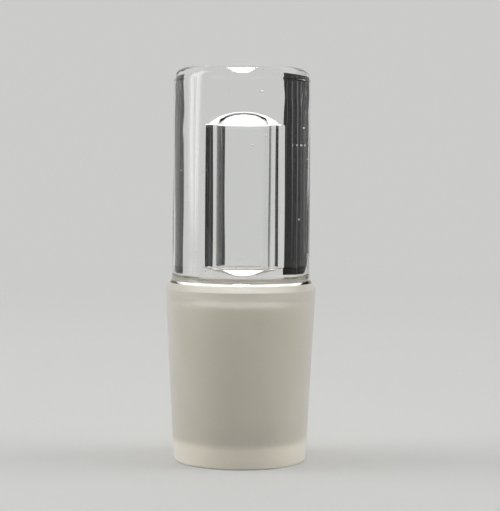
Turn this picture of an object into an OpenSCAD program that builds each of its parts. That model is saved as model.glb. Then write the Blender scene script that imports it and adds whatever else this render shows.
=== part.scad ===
// Glass stopper: a ground taper plug under a thick cylindrical head.
// One piece of glass with two sealed hollows, one in the head and one in the plug.

/* [Plug] */
// Diameter of the plug at its wide end, just under the head
plug_d = 24; // [23:0.5:30]
// Height of the plug, from the foot to the shoulder
plug_h = 27.4; // [20:0.1:40]
// Loss of diameter for each millimetre of height, 0.1 for a standard joint
taper = 0.1; // [0.05:0.01:0.15]
// Height of the clear band that is left unground below the shoulder
band_h = 1.2; // [0.6:0.1:4]
// Depth that grinding takes off the taper below the clear band
grind_t = 0.05; // [0.02:0.01:0.1]
// Radius of the worn edge round the foot
foot_edge_r = 0.4; // [0.1:0.1:1]
// Radius of the fire-polished edge round the shoulder
shoulder_edge_r = 0.3; // [0.1:0.1:0.4]

/* [Plug hollow] */
// Thickness of glass beside the plug's hollow
plug_wall = 1.9; // [1:0.1:3]
// Thickness of glass under the plug's hollow
foot_t = 3.5; // [1.5:0.1:6]
// Depth of the plug's hollow below the shoulder
plug_roof_t = 0.9; // [0.5:0.1:3]
// Crown radius of the hollow's shallow floor
plug_floor_crown_r = 30; // [20:1:60]
// Corner radius between that floor and the wall
plug_floor_corner_r = 1.6; // [0.5:0.1:3]
// Crown radius of the hollow's almost flat roof
plug_roof_crown_r = 80; // [20:1:120]
// Corner radius between that roof and the wall
plug_roof_corner_r = 1.6; // [1:0.1:4]

/* [Head] */
// Diameter of the head
head_d = 22; // [18:0.5:22]
// Height of the head above the shoulder
head_h = 34.9; // [28:0.1:45]
// Radius of the rim round the head's flat top
rim_r = 2; // [0.5:0.1:3]
// Radius of the fillet where the head rises from the shoulder
neck_r = 0.5; // [0.2:0.1:0.6]

/* [Head hollow] */
// Diameter of the hollow, a narrow bore in a thick wall
hollow_d = 8.8; // [8.8:0.1:14]
// Thickness of solid glass above the peak of the hollow's roof
crown_t = 7; // [4:0.1:12]
// Thickness of glass from the shoulder up to the lowest point of the hollow
head_floor_t = 2; // [1:0.1:5]
// Width of the flat rim between the hollow's wall and the flank of its roof or floor
hollow_rim = 0.45; // [0.45:0.05:0.6]
// Slope of the roof's flank, in degrees from level
head_roof_slope = 47; // [25:1:48]
// Crown radius of the roof's blunt peak
head_roof_crown_r = 5; // [2:0.1:5]
// Radius of the blend between that flank and the rim
head_roof_blend_r = 0.2; // [0.1:0.05:0.3]
// Corner radius between the roof's rim and the wall
head_roof_corner_r = 0.25; // [0.1:0.05:0.3]
// Slope of the floor's flank, in degrees from level
head_floor_slope = 21; // [10:1:30]
// Crown radius of the floor's lowest part
head_floor_crown_r = 4.5; // [2:0.5:7]
// Radius of the blend between that flank and the rim
head_floor_blend_r = 0.5; // [0.2:0.1:0.5]
// Corner radius between the floor's rim and the wall
head_floor_corner_r = 0.3; // [0.1:0.05:0.3]

/* [Hidden] */
$fn = 128;

total_h = plug_h + head_h;
// Change of radius for each millimetre of height, on both sides of the plug's wall
slope = taper / 2;
// Radii at the plane of the foot, on the clear glass, the ground glass and the hollow
clear_foot_r = plug_d / 2 - plug_h * slope;
ground_foot_r = clear_foot_r - grind_t;
hollow_foot_r = clear_foot_r - plug_wall;
band_z = plug_h - band_h;

// A half section of straight lines with rounded corners, from points [radius, height, corner radius]
// in counter-clockwise order. The corner arcs are true arcs that touch both of their sides.
module rounded_section(points) {
    count = len(points);
    corner = [for (p = points) [p[0], p[1]]];
    // Directions from each corner to the one before it and the one after it
    back = [for (i = [0:count - 1]) unit(corner[(i + count - 1) % count] - corner[i])];
    ahead = [for (i = [0:count - 1]) unit(corner[(i + 1) % count] - corner[i])];
    half = [for (i = [0:count - 1]) acos(back[i] * ahead[i]) / 2];
    // Where each corner's arc starts and ends, and its centre
    start = [for (i = [0:count - 1]) corner[i] + back[i] * points[i][2] / tan(half[i])];
    end = [for (i = [0:count - 1]) corner[i] + ahead[i] * points[i][2] / tan(half[i])];
    centre = [for (i = [0:count - 1]) corner[i] + unit(back[i] + ahead[i]) * points[i][2] / sin(half[i])];
    is_inside_corner = [for (i = [0:count - 1]) cross(back[i], ahead[i]) > 0];

    difference() {
        union() {
            polygon([for (i = [0:count - 1]) each points[i][2] > 0 ? [start[i], end[i]] : [corner[i]]]);
            for (i = [0:count - 1])
                if (points[i][2] > 0 && !is_inside_corner[i])
                    corner_arc([start[i], corner[i], end[i]], centre[i], points[i][2]);
        }
        for (i = [0:count - 1])
            if (points[i][2] > 0 && is_inside_corner[i])
                corner_arc([start[i], corner[i], end[i]], centre[i], points[i][2]);
    }
}

function unit(v) = v / norm(v);

// The part of a circle that lies inside a corner's triangle
module corner_arc(triangle, centre, radius) {
    intersection() {
        polygon(triangle);
        translate(centre) circle(r = radius);
    }
}

// Centre of the corner arc of a dished end. The arc touches a wall whose radius is
// wall_r at height 0 and grows by lean for each millimetre, and the crown arc from inside.
function corner_centre(wall_r, lean, crown_z, crown_r, corner_r) =
    let (
        inset_r = wall_r - corner_r * sqrt(1 + lean * lean),
        reach = crown_r - corner_r,
        a = 1 + lean * lean,
        b = crown_z - inset_r * lean,
        c = crown_z * crown_z + inset_r * inset_r - reach * reach,
        z = (b + sqrt(b * b - a * c)) / a
    )
    [inset_r + lean * z, z];

// Half section of a hollow from base_z up to the apex of its dished end
module dished_end(wall_r, lean, base_z, apex_z, crown_r, corner_r) {
    crown_centre = [0, apex_z - crown_r];
    centre = corner_centre(wall_r, lean, crown_centre[1], crown_r, corner_r);
    on_wall = centre + corner_r * unit([1, -lean]);
    on_crown = crown_centre + crown_r * unit(centre - crown_centre);
    polygon([
        [0, base_z],
        [wall_r + lean * base_z, base_z],
        on_wall,
        centre,
        on_crown,
        [0, on_crown[1]]
    ]);
    intersection() {
        translate([0, on_crown[1]]) square([on_crown[0], crown_r]);
        translate(crown_centre) circle(r = crown_r);
    }
    intersection() {
        polygon([centre, on_wall, [on_wall[0] + corner_r, on_crown[1] + corner_r], on_crown]);
        translate(centre) circle(r = corner_r);
    }
}

// Section of the head's hollow, whose roof and floor are drawn to blunt peaks on the axis
module head_hollow_section() {
    hollow_r = hollow_d / 2;
    flank_r = hollow_r - hollow_rim;
    // Heights of the sharp tips that the crown arcs round off
    roof_tip_z = total_h - crown_t + head_roof_crown_r * (1 / cos(head_roof_slope) - 1);
    floor_tip_z = plug_h + head_floor_t - head_floor_crown_r * (1 / cos(head_floor_slope) - 1);
    roof_rim_z = roof_tip_z - flank_r * tan(head_roof_slope);
    floor_rim_z = floor_tip_z + flank_r * tan(head_floor_slope);
    right_side = [
        [flank_r, floor_rim_z, head_floor_blend_r],
        [hollow_r, floor_rim_z, head_floor_corner_r],
        [hollow_r, roof_rim_z, head_roof_corner_r],
        [flank_r, roof_rim_z, head_roof_blend_r]
    ];
    left_side = [for (i = [3:-1:0]) let (p = right_side[i]) [-p[0], p[1], p[2]]];
    intersection() {
        translate([0, floor_tip_z]) square([hollow_r, roof_tip_z - floor_tip_z]);
        rounded_section(concat(
            [[0, floor_tip_z, head_floor_crown_r]], right_side,
            [[0, roof_tip_z, head_roof_crown_r]], left_side
        ));
    }
}

module plug_hollow_section() {
    roof_z = plug_h - plug_roof_t;
    middle_z = (foot_t + roof_z) / 2;
    dished_end(hollow_foot_r, slope, middle_z, roof_z, plug_roof_crown_r, plug_roof_corner_r);
    mirror([0, 1])
        dished_end(hollow_foot_r, -slope, -middle_z, -foot_t, plug_floor_crown_r, plug_floor_corner_r);
}

module outer_section() {
    rounded_section([
        [0, 0, 0],
        [ground_foot_r, 0, foot_edge_r],
        [ground_foot_r + band_z * slope, band_z, 0],
        [clear_foot_r + band_z * slope, band_z, 0],
        [plug_d / 2, plug_h, shoulder_edge_r],
        [head_d / 2, plug_h, neck_r],
        [head_d / 2, total_h, rim_r],
        [0, total_h, 0]
    ]);
}

module stopper() {
    color("azure")
        rotate_extrude()
            difference() {
                outer_section();
                head_hollow_section();
                plug_hollow_section();
            }
}

stopper();
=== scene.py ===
"""Dresses the glass stopper: clear polished head, ground plug, seeds and draw lines, on a pale floor."""

import math
import random

import bmesh
import bpy
from mathutils import Matrix, Vector, noise


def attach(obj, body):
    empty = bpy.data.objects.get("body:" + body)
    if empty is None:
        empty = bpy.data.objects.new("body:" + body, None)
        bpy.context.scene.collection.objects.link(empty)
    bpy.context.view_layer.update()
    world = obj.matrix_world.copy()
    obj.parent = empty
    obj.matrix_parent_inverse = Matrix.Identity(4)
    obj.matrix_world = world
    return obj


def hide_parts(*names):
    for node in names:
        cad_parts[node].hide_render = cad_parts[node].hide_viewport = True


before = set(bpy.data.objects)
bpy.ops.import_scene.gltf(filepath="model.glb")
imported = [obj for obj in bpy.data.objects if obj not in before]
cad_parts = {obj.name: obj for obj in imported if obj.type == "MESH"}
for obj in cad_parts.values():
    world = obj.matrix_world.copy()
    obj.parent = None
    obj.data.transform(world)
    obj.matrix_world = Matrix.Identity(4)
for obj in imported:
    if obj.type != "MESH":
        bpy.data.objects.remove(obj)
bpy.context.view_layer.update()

MM = 0.001

# The stopper's own sizes in millimetres, as in its CAD source.
PLUG_D, PLUG_H, TAPER = 24.0, 27.4, 0.1
BAND_H, GRIND_T = 1.2, 0.05
FOOT_EDGE_R, SHOULDER_EDGE_R = 0.4, 0.3
PLUG_WALL, FOOT_T, PLUG_ROOF_T = 1.9, 3.5, 0.9
PLUG_FLOOR = {"crown_r": 30.0, "corner_r": 1.6}
PLUG_ROOF = {"crown_r": 80.0, "corner_r": 1.6}
HEAD_D, HEAD_H, RIM_R = 22.0, 34.9, 2.0
HOLLOW_D, HOLLOW_RIM, CROWN_T, HEAD_FLOOR_T = 8.8, 0.45, 7.0, 2.0
HEAD_ROOF = {"slope": 47, "crown_r": 5.0, "blend_r": 0.2, "corner_r": 0.25}
HEAD_FLOOR = {"slope": 21, "crown_r": 4.5, "blend_r": 0.5, "corner_r": 0.3}

TOTAL_H = PLUG_H + HEAD_H
SLOPE = TAPER / 2
BAND_Z = PLUG_H - BAND_H
CLEAR_FOOT_R = PLUG_D / 2 - PLUG_H * SLOPE
GROUND_FOOT_R = CLEAR_FOOT_R - GRIND_T
HOLLOW_FOOT_R = CLEAR_FOOT_R - PLUG_WALL

# What the scene adds, in millimetres: a fuller flare under the head, frost that runs up onto it, a
# head hollow that sits a little off the axis, draw waves and seeds.
FLARE_H, FLARE_R = 1.5, 0.8     # height of the flare above the shoulder, and the arc that it ends in
FROST_H = 1.0                   # how far up the flare the frost reaches
FROST_Z = PLUG_H + FROST_H
FROST_R = PLUG_D / 2 - (PLUG_D - HEAD_D) / 2 * FROST_H / FLARE_H
HOLLOW_SHIFT = 0.25             # towards +X
WALL_DRAW = 0.1                 # depth of the waves in the head's outer wall
TOP_DRAW = 0.1                  # depth of the shorter waves round the solid top
HOLLOW_DRAW = 0.02              # depth of the waves in the head hollow's wall
LONG_WAVES, SHORT_WAVES = 0.04, 0.25    # how fast waves change with height
SEED_COUNT, SEED_R = 36, (0.04, 0.1)    # the radius is between these two
SEED_STRETCH = 1.6

SEGMENTS = 300                  # steps round the stopper
ARC_STEP = math.radians(5)
WALL_STEP = 1.0                 # longest step along a wall
SHARP_ANGLE = math.radians(25)
CLEAR, GROUND, GROUND_FOOT = range(3)   # material slots
GLASS_IOR = 1.473


# ---------------------------------------------------------------- profiles

def arc(centre, radius, start, end):
    """Points on a circle from angle start to angle end, in radians."""
    steps = max(3, math.ceil(abs(end - start) / ARC_STEP))
    angles = [start + (end - start) * i / steps for i in range(steps + 1)]
    return [(centre[0] + radius * math.cos(a), centre[1] + radius * math.sin(a)) for a in angles]


def rounded(points):
    """A chain of straight lines through (radius, height, corner radius), its corners turned into arcs."""
    chain = []
    for i, (r, z, corner_r) in enumerate(points):
        here = Vector((r, z))
        if not corner_r:
            chain.append((r, z))
            continue
        back = (Vector(points[i - 1][:2]) - here).normalized()
        ahead = (Vector(points[i + 1][:2]) - here).normalized()
        half = back.angle(ahead) / 2
        centre = here + (back + ahead).normalized() * corner_r / math.sin(half)
        first = here + back * corner_r / math.tan(half) - centre
        last = here + ahead * corner_r / math.tan(half) - centre
        start = math.atan2(first.y, first.x)
        turn = (math.atan2(last.y, last.x) - start + math.pi) % (2 * math.pi) - math.pi
        chain += arc(centre, corner_r, start, start + turn)
    return chain


def dished_end(wall_r, lean, apex_z, crown_r, corner_r):
    """From the wall to the apex of a dished end: a corner arc, then a crown arc that it runs into."""
    crown_z = apex_z - crown_r
    a = 1 + lean * lean
    inset_r = wall_r - corner_r * math.sqrt(a)
    b = crown_z - inset_r * lean
    c = crown_z ** 2 + inset_r ** 2 - (crown_r - corner_r) ** 2
    z = (b + math.sqrt(b * b - a * c)) / a
    centre = (inset_r + lean * z, z)
    meet = math.atan2(z - crown_z, centre[0])
    corner = arc(centre, corner_r, math.atan2(-lean, 1), meet)
    crown = arc((0, crown_z), crown_r, meet, math.pi / 2)
    return corner + crown[1:]


def peaked_end(apex_z, slope, crown_r, blend_r, corner_r):
    """From the wall to the apex of an end with a flat rim and a blunt peak: a corner arc, the rim,
    a blend arc, a straight flank and a crown arc."""
    wall_r = HOLLOW_D / 2
    flank_r = wall_r - HOLLOW_RIM
    lean = math.radians(slope)
    tip_z = apex_z + crown_r * (1 / math.cos(lean) - 1)
    rim_z = tip_z - flank_r * math.tan(lean)
    chain = rounded([
        (wall_r, rim_z - 2 * corner_r, 0), (wall_r, rim_z, corner_r), (flank_r, rim_z, blend_r),
        (0, tip_z, crown_r), (-flank_r, rim_z, 0),
    ])
    return [(0 if abs(r) < 1e-6 else r, z) for r, z in chain[1:-1] if r > -1e-6]


def closed(floor, roof):
    """A closed hollow's profile from its lowest point to its highest, from its two ends.
    The floor is given upside down."""
    return [(r, -z) for r, z in reversed(floor)] + roof


def finer(chain):
    """The same chain with its long wall lines cut into steps."""
    out = [chain[0]]
    for (r0, z0), (r1, z1) in zip(chain, chain[1:]):
        steps = max(1, math.ceil(math.hypot(r1 - r0, z1 - z0) / WALL_STEP))
        out += [(r0 + (r1 - r0) * i / steps, z0 + (z1 - z0) * i / steps) for i in range(1, steps + 1)]
    return out


OUTSIDE = rounded([
    (0, 0, 0),
    (GROUND_FOOT_R, 0, FOOT_EDGE_R),
    (GROUND_FOOT_R + FOOT_T * SLOPE, FOOT_T, 0),
    (GROUND_FOOT_R + BAND_Z * SLOPE, BAND_Z, 0),
    (CLEAR_FOOT_R + BAND_Z * SLOPE, BAND_Z, 0),
    (PLUG_D / 2, PLUG_H, SHOULDER_EDGE_R),
    (FROST_R, FROST_Z, 0),
    (HEAD_D / 2, PLUG_H + FLARE_H, FLARE_R),
    (HEAD_D / 2, TOTAL_H, RIM_R),
    (0, TOTAL_H, 0),
])
HEAD_HOLLOW = closed(
    peaked_end(-PLUG_H - HEAD_FLOOR_T, **HEAD_FLOOR), peaked_end(TOTAL_H - CROWN_T, **HEAD_ROOF)
)
PLUG_HOLLOW = closed(
    dished_end(HOLLOW_FOOT_R, -SLOPE, -FOOT_T, **PLUG_FLOOR),
    dished_end(HOLLOW_FOOT_R, SLOPE, PLUG_H - PLUG_ROOF_T, **PLUG_ROOF)
)


# ---------------------------------------------------------------- mesh

def drawn(depth, low_z, high_z, seed, change=LONG_WAVES):
    """Waves along a wall, as drawn glass has: for an angle and a height, how far the wall lies
    inside its true radius, in millimetres. They fade out towards both ends of the wall."""
    def inset(angle, z):
        ends = min(1, max(0, (z - low_z) / 2)) * min(1, max(0, (high_z - z) / 2))
        waves = 0
        for around, share in ((2.5, 0.5), (9, 0.35), (28, 0.15)):
            place = Vector((math.cos(angle) * around, math.sin(angle) * around, z * change + seed))
            waves += share * (0.5 + 0.5 * noise.noise(place))
        return depth * waves * ends
    return inset


def level(angle, z):
    """No waves."""
    return 0


def lathe(bm, chain, inset, inward, shift=0.0):
    """Turns a profile about Z into a closed shell, its faces looking away from the glass. A hollow's
    faces look inward."""
    rings = []
    for r, z in finer(chain):
        if r < 1e-6:
            rings.append([bm.verts.new((shift * MM, 0, z * MM))])
            continue
        ring = []
        for i in range(SEGMENTS):
            angle = 2 * math.pi * i / SEGMENTS
            wall_r = r - inset(angle, z)
            x, y = shift + wall_r * math.cos(angle), wall_r * math.sin(angle)
            ring.append(bm.verts.new((x * MM, y * MM, z * MM)))
        rings.append(ring)
    for low, high in zip(rings, rings[1:]):
        for i in range(SEGMENTS):
            j = (i + 1) % SEGMENTS
            corners = [low[i % len(low)], low[j % len(low)], high[j % len(high)], high[i % len(high)]]
            corners = list(dict.fromkeys(corners))
            if inward:
                corners.reverse()
            bm.faces.new(corners)


def seeds(bm):
    """Small bubbles in the thick wall of the head, drawn out a little along it."""
    chance = random.Random(5)
    for _ in range(SEED_COUNT):
        angle = chance.uniform(0, 2 * math.pi)
        r = chance.uniform(HOLLOW_D / 2 + 1, HEAD_D / 2 - 0.5)
        z = chance.uniform(PLUG_H + 3, TOTAL_H - 3)
        size = chance.uniform(*SEED_R)
        place = Vector((r * math.cos(angle), r * math.sin(angle), z)) * MM
        stretched = Matrix.Diagonal((size * MM, size * MM, SEED_STRETCH * size * MM, 1))
        made = bmesh.ops.create_icosphere(
            bm, subdivisions=2, radius=1, matrix=Matrix.Translation(place) @ stretched
        )
        faces = {face for vert in made["verts"] for face in vert.link_faces}
        bmesh.ops.reverse_faces(bm, faces=list(faces))


def stopper_mesh():
    """The whole piece: its outside, both hollows and the seeds, with a slot for each finish."""
    bm = bmesh.new()
    wall = drawn(WALL_DRAW, PLUG_H + FLARE_H + 1, TOTAL_H + 1, 0)
    top = drawn(TOP_DRAW, TOTAL_H - CROWN_T - 2, TOTAL_H + 1, 70, SHORT_WAVES)
    bore = drawn(HOLLOW_DRAW, PLUG_H + HEAD_FLOOR_T, TOTAL_H - CROWN_T, 40)
    lathe(bm, OUTSIDE, lambda angle, z: wall(angle, z) + top(angle, z), inward=False)
    lathe(bm, HEAD_HOLLOW, bore, inward=True, shift=HOLLOW_SHIFT)
    lathe(bm, PLUG_HOLLOW, level, inward=True)
    seeds(bm)
    mesh = bpy.data.meshes.new("stopper_glass")
    bm.to_mesh(mesh)
    bm.free()
    for face in mesh.polygons:
        face.use_smooth = True
        is_outer = math.hypot(face.center.x, face.center.y) > (GROUND_FOOT_R - FOOT_EDGE_R) * MM
        if is_outer and face.center.z < FROST_Z * MM:
            face.material_index = GROUND_FOOT if face.center.z < FOOT_T * MM else GROUND
    mesh.set_sharp_from_angle(angle=SHARP_ANGLE)
    return mesh


# ---------------------------------------------------------------- materials

def material(name, **sockets):
    """A Principled material, its plain values set on its own sockets."""
    mat = bpy.data.materials.new(name)
    mat.use_nodes = True
    shader = mat.node_tree.nodes["Principled BSDF"]
    for socket, value in sockets.items():
        shader.inputs[socket.replace("_", " ")].default_value = value
    return mat, mat.node_tree, shader


def object_noise(tree, stretch, scale, detail, low, high):
    """A noise value fixed to the object and stretched along its axes. It runs from 0 where the noise
    is low to 1 where it is high."""
    coords = tree.nodes.new("ShaderNodeTexCoord")
    mapping = tree.nodes.new("ShaderNodeMapping")
    mapping.inputs["Scale"].default_value = stretch
    texture = tree.nodes.new("ShaderNodeTexNoise")
    texture.inputs["Scale"].default_value = scale
    texture.inputs["Detail"].default_value = detail
    cut = tree.nodes.new("ShaderNodeMapRange")
    cut.inputs["From Min"].default_value = low
    cut.inputs["From Max"].default_value = high
    tree.links.new(coords.outputs["Object"], mapping.inputs["Vector"])
    tree.links.new(mapping.outputs["Vector"], texture.inputs["Vector"])
    tree.links.new(texture.outputs["Fac"], cut.inputs["Value"])
    return cut.outputs["Result"]


def scaled(tree, value, low, high):
    """A value from 0 to 1 turned into one from low to high."""
    node = tree.nodes.new("ShaderNodeMapRange")
    node.inputs["To Min"].default_value = low
    node.inputs["To Max"].default_value = high
    tree.links.new(value, node.inputs["Value"])
    return node.outputs["Result"]


def blended(tree, value, low, high):
    """A value from 0 to 1 turned into a colour between two."""
    node = tree.nodes.new("ShaderNodeMix")
    node.data_type = "RGBA"
    node.inputs["A"].default_value = (*low, 1)
    node.inputs["B"].default_value = (*high, 1)
    tree.links.new(value, node.inputs["Factor"])
    return node.outputs["Result"]


def raised(tree, shader, value, distance, strength=1.0):
    """Lets a value from 0 to 1 raise the surface, by up to a distance in metres."""
    node = tree.nodes.new("ShaderNodeBump")
    node.inputs["Strength"].default_value = strength
    node.inputs["Distance"].default_value = distance
    tree.links.new(value, node.inputs["Height"])
    tree.links.new(node.outputs["Normal"], shader.inputs["Normal"])


def clear_glass():
    """Fire-polished glass with a few wiped smudges."""
    mat, tree, shader = material("clear_glass", Transmission_Weight=1.0, IOR=GLASS_IOR)
    smudge = object_noise(tree, (1, 1, 0.5), 90, 3, 0.56, 0.75)
    tree.links.new(scaled(tree, smudge, 0.0, 0.07), shader.inputs["Roughness"])
    tint = blended(tree, smudge, (0.985, 0.992, 0.988), (0.965, 0.97, 0.96))
    tree.links.new(tint, shader.inputs["Base Color"])
    return mat


def ground_glass(name, transmission):
    """Glass ground to a fine matt grain, with faint rings from the grinding and soft worn patches.
    Its base colour is painted whiter round the solid foot: painted light, standing in for the light that
    gathers in the solid glass there."""
    mat, tree, shader = material(
        name, Transmission_Weight=transmission, IOR=GLASS_IOR, Sheen_Weight=0.9, Sheen_Roughness=0.5
    )
    wear = object_noise(tree, (1, 1, 0.6), 110, 2, 0.35, 0.65)
    rings = object_noise(tree, (0.02, 0.02, 1), 5000, 2, 0.3, 0.7)
    grain = object_noise(tree, (1, 1, 1), 9000, 3, 0.3, 0.7)
    upper = blended(tree, wear, (0.76, 0.71, 0.60), (0.80, 0.75, 0.64))
    coords = tree.nodes.new("ShaderNodeTexCoord")
    apart = tree.nodes.new("ShaderNodeSeparateXYZ")
    # painted light: a mask that whitens the base colour towards the solid foot, standing in for the light
    # gathered there
    foot = tree.nodes.new("ShaderNodeMapRange")
    foot.interpolation_type = "SMOOTHSTEP"
    foot.inputs["From Min"].default_value = (FOOT_T + 0.8) * MM
    foot.inputs["From Max"].default_value = (FOOT_T - 0.8) * MM
    tone = tree.nodes.new("ShaderNodeMix")
    tone.data_type = "RGBA"
    # painted light: the whiter, warmer colour that the foot mask paints in
    tone.inputs["B"].default_value = (0.97, 0.91, 0.77, 1)
    tree.links.new(coords.outputs["Object"], apart.inputs["Vector"])
    tree.links.new(apart.outputs["Z"], foot.inputs["Value"])
    tree.links.new(foot.outputs["Result"], tone.inputs["Factor"])
    tree.links.new(upper, tone.inputs["A"])
    tree.links.new(tone.outputs["Result"], shader.inputs["Base Color"])
    tree.links.new(scaled(tree, rings, 0.52, 0.62), shader.inputs["Roughness"])
    raised(tree, shader, grain, 0.00004, 0.4)
    return mat


def floor_paper(tone):
    """Matt paper near the stopper, which fades with distance into the backdrop's plain tone."""
    mat, tree, shader = material("floor_paper", Base_Color=(*tone, 1), Roughness=0.9)
    coords = tree.nodes.new("ShaderNodeTexCoord")
    length = tree.nodes.new("ShaderNodeVectorMath")
    length.operation = "LENGTH"
    fade = tree.nodes.new("ShaderNodeMapRange")
    fade.interpolation_type = "SMOOTHSTEP"
    fade.inputs["From Min"].default_value = 0.12
    fade.inputs["From Max"].default_value = 0.55
    emission = tree.nodes.new("ShaderNodeEmission")
    emission.inputs["Color"].default_value = (*tone, 1)
    mix = tree.nodes.new("ShaderNodeMixShader")
    tree.links.new(coords.outputs["Object"], length.inputs[0])
    tree.links.new(length.outputs["Value"], fade.inputs["Value"])
    tree.links.new(fade.outputs["Result"], mix.inputs["Fac"])
    tree.links.new(shader.outputs[0], mix.inputs[1])
    tree.links.new(emission.outputs[0], mix.inputs[2])
    tree.links.new(mix.outputs[0], tree.nodes["Material Output"].inputs["Surface"])
    return mat


def glow(name, tone, strength):
    """A plain glowing surface."""
    mat = bpy.data.materials.new(name)
    mat.use_nodes = True
    tree = mat.node_tree
    tree.nodes.clear()
    emission = tree.nodes.new("ShaderNodeEmission")
    emission.inputs["Color"].default_value = (*tone, 1)
    emission.inputs["Strength"].default_value = strength
    output = tree.nodes.new("ShaderNodeOutputMaterial")
    tree.links.new(emission.outputs[0], output.inputs["Surface"])
    return mat


def streaked_glow(name, strength, from_y, to_y, full_z):
    """A glow in upright streaks between two places along Y. It fades out towards both of them, and
    from full_z down to the floor."""
    mat = glow(name, (1, 1, 1), strength)
    tree = mat.node_tree
    coords = tree.nodes.new("ShaderNodeTexCoord")
    apart = tree.nodes.new("ShaderNodeSeparateXYZ")
    tree.links.new(coords.outputs["Object"], apart.inputs["Vector"])
    value = object_noise(tree, (1, 1, 0.05), 45, 2, 0.25, 0.7)
    middle_y = (from_y + to_y) / 2
    half_glow = math.sqrt(strength)     # each of the two fades along Y brings one of its factors
    for axis, edge, full, most in (
        ("Y", from_y, middle_y, half_glow), ("Y", to_y, middle_y, half_glow), ("Z", 0, full_z, 1)
    ):
        fade = tree.nodes.new("ShaderNodeMapRange")
        fade.interpolation_type = "SMOOTHSTEP"
        fade.inputs["From Min"].default_value = edge
        fade.inputs["From Max"].default_value = full
        fade.inputs["To Max"].default_value = most
        product = tree.nodes.new("ShaderNodeMath")
        product.operation = "MULTIPLY"
        tree.links.new(apart.outputs[axis], fade.inputs["Value"])
        tree.links.new(value, product.inputs[0])
        tree.links.new(fade.outputs["Result"], product.inputs[1])
        value = product.outputs[0]
    tree.links.new(value, tree.nodes["Emission"].inputs["Strength"])
    return mat


def streaked_dark(name, tone, streak):
    """A dark surface with a few thin upright streaks of light."""
    mat = glow(name, (1, 1, 1), tone)
    tree = mat.node_tree
    lines = object_noise(tree, (1, 1, 0.02), 130, 2, 0.57, 0.68)
    tree.links.new(scaled(tree, lines, tone, streak), tree.nodes["Emission"].inputs["Strength"])
    return mat


# ---------------------------------------------------------------- studio

# Distances in metres. Angles are in degrees, clockwise from straight behind the stopper.
PALE = (0.60, 0.60, 0.59)
BACKDROP = {"distance": 1.5, "start": -100, "end": 100, "height": 2.0}
RIGHT_FLAG = {"distance": 0.32, "start": 41, "end": 62, "height": 0.12}
LEFT_FLAG = {"distance": 0.32, "start": -66, "end": -24, "height": 0.12}
RIGHT_CARD = {"distance": 0.35, "start": 30, "end": 105, "height": 0.3}
LEFT_CARD = {"distance": 0.4, "start": -118, "end": -72, "height": 0.5}
DARK, STREAK = 0.01, 0.22       # how bright the dark flags and the streaks in them are


def stage_mesh(name, verts, faces, mat):
    """Anything that stands round the stopper and isn't part of it."""
    mesh = bpy.data.meshes.new(name)
    mesh.from_pydata(verts, [], faces)
    mesh.materials.append(mat)
    obj = bpy.data.objects.new(name, mesh)
    bpy.context.collection.objects.link(obj)
    return obj


def curved_wall(name, mat, distance, start, end, height):
    """An upright wall round part of the stopper."""
    steps = 16
    verts = []
    for i in range(steps + 1):
        a = math.radians(start + (end - start) * i / steps)
        verts += [(distance * math.sin(a), distance * math.cos(a), z) for z in (0, height)]
    faces = [(2 * i, 2 * i + 2, 2 * i + 3, 2 * i + 1) for i in range(steps)]
    return stage_mesh(name, verts, faces, mat)


def ceiling(name, x, y, z, strength):
    """A level white card that glows."""
    corners = [(x[0], y[0], z), (x[1], y[0], z), (x[1], y[1], z), (x[0], y[1], z)]
    return stage_mesh(name, corners, [(0, 1, 2, 3)], glow(name, (1, 1, 1), strength))


def seen_in_glass(card, way):
    """Leaves a card visible in one way only: "glossy", mirrored by the glass, or "transmission",
    through it."""
    for ray in ("camera", "shadow", "diffuse", "glossy", "transmission"):
        setattr(card, "visible_" + ray, ray == way)


def softbox(name, side, place, radiance):
    """A square lamp that points at the stopper's middle. The glass neither mirrors nor shows it."""
    light = bpy.data.lights.new(name, "AREA")
    light.shape = "RECTANGLE"
    light.size = light.size_y = side
    light.energy = radiance * math.pi * side * side
    obj = bpy.data.objects.new(name, light)
    obj.location = place
    obj.rotation_euler = (Vector((0, 0, 0.03)) - Vector(place)).to_track_quat("-Z", "Y").to_euler()
    obj.visible_glossy = False
    obj.visible_transmission = False
    bpy.context.collection.objects.link(obj)


def place_along_y(wall, angle):
    """Where a wall is along Y at one of its angles."""
    return wall["distance"] * math.cos(math.radians(angle))


def lit_room():
    """The room beyond the backdrop: pale where it is seen, straight or through the glass, and dim as a
    light and a reflection."""
    world = bpy.data.worlds.new("room")
    bpy.context.scene.world = world
    world.use_nodes = True
    tree = world.node_tree
    background = tree.nodes["Background"]
    path = tree.nodes.new("ShaderNodeLightPath")
    seen = tree.nodes.new("ShaderNodeMath")
    seen.operation = "MAXIMUM"
    mix = tree.nodes.new("ShaderNodeMix")
    mix.data_type = "RGBA"
    mix.inputs["A"].default_value = (0.1, 0.1, 0.1, 1)
    mix.inputs["B"].default_value = (*PALE, 1)
    tree.links.new(path.outputs["Is Camera Ray"], seen.inputs[0])
    tree.links.new(path.outputs["Is Transmission Ray"], seen.inputs[1])
    tree.links.new(seen.outputs[0], mix.inputs["Factor"])
    tree.links.new(mix.outputs["Result"], background.inputs["Color"])


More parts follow.
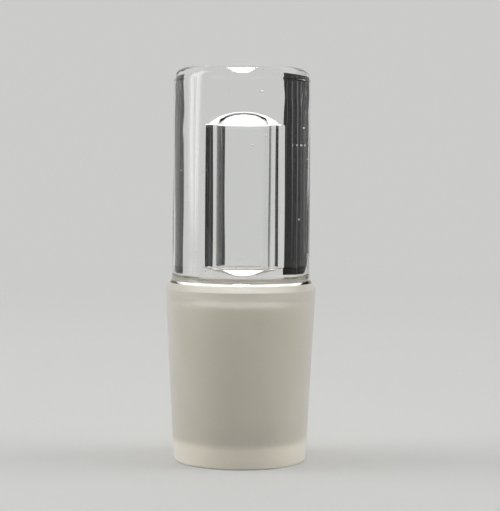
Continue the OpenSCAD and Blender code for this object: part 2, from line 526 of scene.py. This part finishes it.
def studio():
    """A pale floor and backdrop, soft lamps, and the cards that the clear glass shows or mirrors."""
    floor_corners = [(-3, -0.6, 0), (3, -0.6, 0), (3, 3, 0), (-3, 3, 0)]
    stage_mesh("floor", floor_corners, [(0, 1, 2, 3)], floor_paper(PALE))
    curved_wall("backdrop", glow("backdrop_paper", PALE, 1.0), **BACKDROP)
    softbox("top_softbox", 3.0, (0.0, 0.2, 1.5), 0.7)
    for x in (-1.2, 1.2):
        softbox("side_softbox", 1.0, (x, 0.0, 0.55), 2.3)

    for name, flag in (("right_flag", RIGHT_FLAG), ("left_flag", LEFT_FLAG)):
        seen_in_glass(curved_wall(name, streaked_dark(name, DARK, STREAK), **flag), "transmission")
    seen_in_glass(ceiling("bright_ceiling", (-1.5, 1.5), (-1.3, 1.7), 0.7, 1.5), "transmission")
    seen_in_glass(ceiling("key_card", (-0.2, 0.2), (-1.0, 0.1), 0.9, 20.0), "glossy")
    seen_in_glass(curved_wall("right_card", glow("right_card", (1, 1, 1), DARK), **RIGHT_CARD), "glossy")
    from_y, to_y = (place_along_y(LEFT_CARD, LEFT_CARD[side]) for side in ("start", "end"))
    left_glow = streaked_glow("left_card", 7.5, from_y, to_y, full_z=0.05)
    seen_in_glass(curved_wall("left_card", left_glow, **LEFT_CARD), "glossy")
    lit_room()


def camera():
    """A long lens from a little above, rolled by a fraction of a degree."""
    data = bpy.data.cameras.new("camera")
    data.sensor_fit = "HORIZONTAL"
    data.sensor_width = 36
    data.lens = 110.8
    data.clip_start = 0.01
    obj = bpy.data.objects.new("camera", data)
    obj.location = (0.00137, -0.2455, 0.0446)
    obj.rotation_euler = (math.radians(90 - 2.79), math.radians(-0.4), 0)
    bpy.context.collection.objects.link(obj)
    bpy.context.scene.camera = obj


mesh = stopper_mesh()
mesh.materials.append(clear_glass())
mesh.materials.append(ground_glass("ground_glass", 0.4))
mesh.materials.append(ground_glass("ground_foot", 0.2))
stopper = bpy.data.objects.new("stopper_glass", mesh)
bpy.context.collection.objects.link(stopper)
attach(stopper, "root")
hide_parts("stopper")

studio()
camera()
bpy.context.scene.view_settings.view_transform = "Standard"
